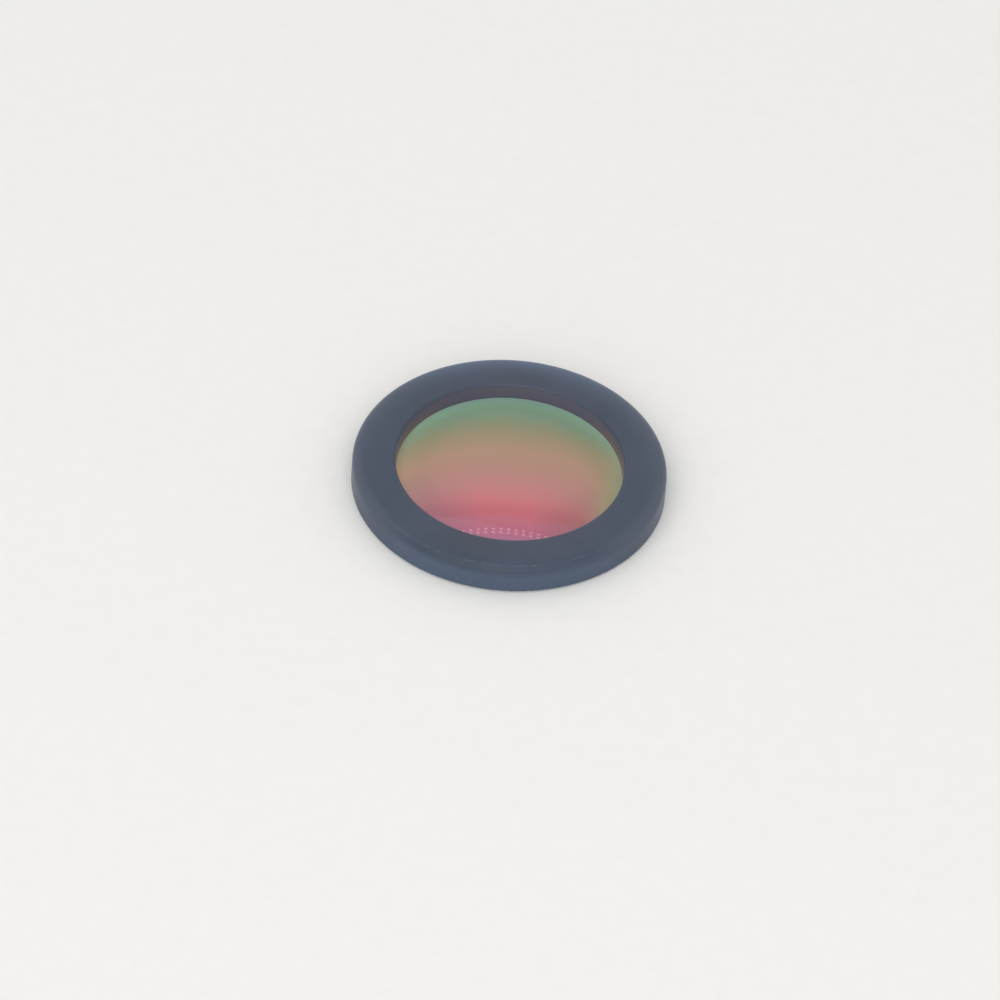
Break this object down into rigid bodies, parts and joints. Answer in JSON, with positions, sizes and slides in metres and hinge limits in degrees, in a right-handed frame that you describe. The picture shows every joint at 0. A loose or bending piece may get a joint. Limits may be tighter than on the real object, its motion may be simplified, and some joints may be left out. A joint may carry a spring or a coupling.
{
  "type": "macro lens attachment",
  "caption": "Round close-up lens in a plain black ring: a convex coated lens under a front lip, held by a slotted ring, with a ring magnet in the flat back.",
  "frame": {"origin": "centre of the back face, where it meets the camera or a table", "axes": "+Z along the optical axis, out of the front of the lens; +X and +Y lie in the back face"},
  "size_m": [0.025, 0.025, 0.0026],
  "materials": {
    "holder_plastic": "fine matte black, moulded",
    "coated_lens": "polished, with an interference coating that runs from green over tan to pink",
    "retainer_plastic": "turned, matte black",
    "magnet_nickel": "bright nickel plating"
  },
  "bodies": {
    "root": {"holder_ring": "holder_plastic", "macro_lens": "coated_lens", "retaining_ring": "retainer_plastic", "ring_magnet": "magnet_nickel"}
  },
  "joints": []
}
